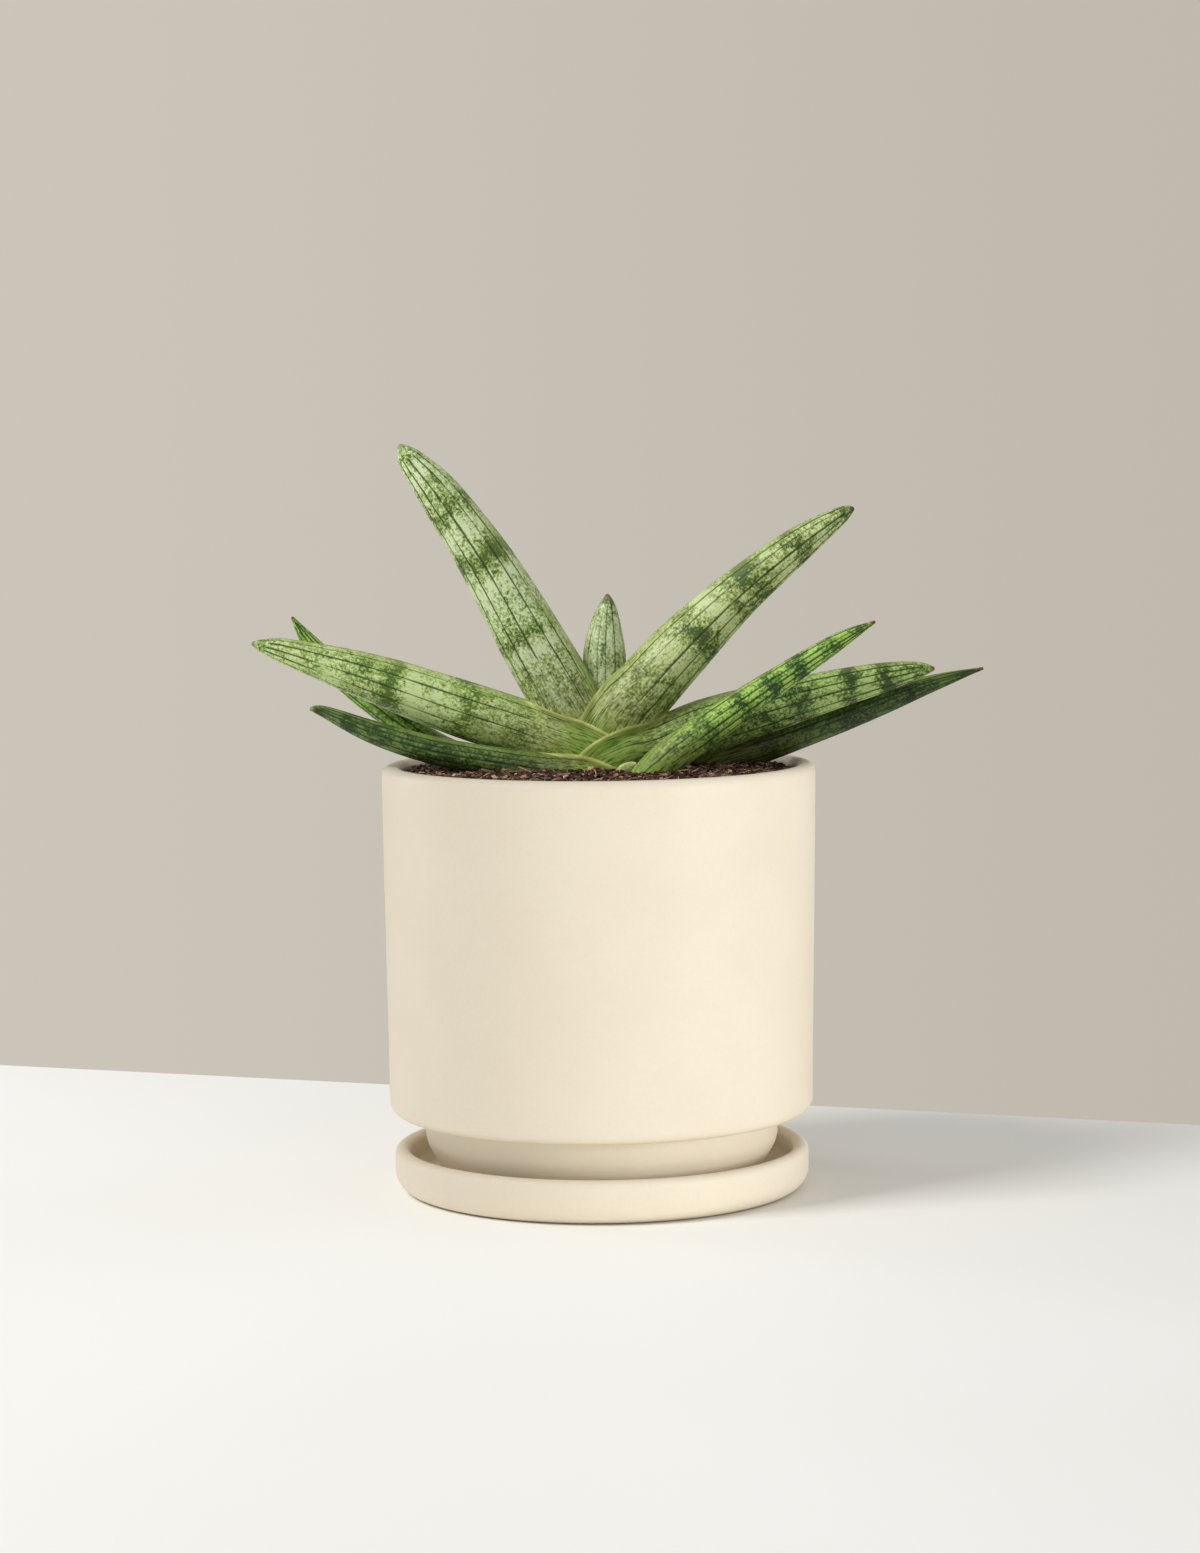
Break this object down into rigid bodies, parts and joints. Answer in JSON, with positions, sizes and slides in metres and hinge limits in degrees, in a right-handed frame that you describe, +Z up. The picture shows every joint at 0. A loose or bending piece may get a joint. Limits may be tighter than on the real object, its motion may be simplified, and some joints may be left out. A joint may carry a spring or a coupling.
{
  "type": "potted snake plant",
  "caption": "Small snake plant: a flat fan of thick, round, tapering leaves rising from dark soil in a plain cylindrical ceramic pot that stands on a shallow matching saucer",
  "frame": {"origin": "centre of the flat underside of the saucer, on the axis of the pot", "axes": "+Z up along the axis of the pot, X across the fan of leaves, -Y towards the side the fan shows its front to"},
  "size_m": [0.2151, 0.127, 0.2188],
  "materials": {
    "ceramic": "matte cream stoneware, smooth, with a soft sheen on the rounded lips",
    "soil": "dark brown, moist bark and coir mix with paler flecks",
    "rhizome": "pale tan, fleshy, with thin papery rings",
    "leaf_grey_green": "waxy mint and grey-green with dark cross bands, fine speckles and dark lengthwise grooves",
    "leaf_dark_green": "waxy, very dark bluish green with faint pale speckles",
    "leaf_bright_green": "waxy bright green with yellow-green bands",
    "leaf_pale": "soft pale green, papery at the tip"
  },
  "bodies": {
    "root": {"saucer": "ceramic", "pot": "ceramic", "soil": "soil", "rhizome": "rhizome", "leaf_centre": "leaf_grey_green", "leaf_upper_left": "leaf_grey_green", "leaf_upper_right": "leaf_grey_green", "leaf_left": "leaf_grey_green", "leaf_right_back": "leaf_grey_green", "leaf_left_low": "leaf_dark_green", "leaf_right_front": "leaf_bright_green", "leaf_left_back": "leaf_bright_green", "leaf_right_low": "leaf_dark_green", "scale_leaf": "leaf_pale"}
  },
  "joints": []
}
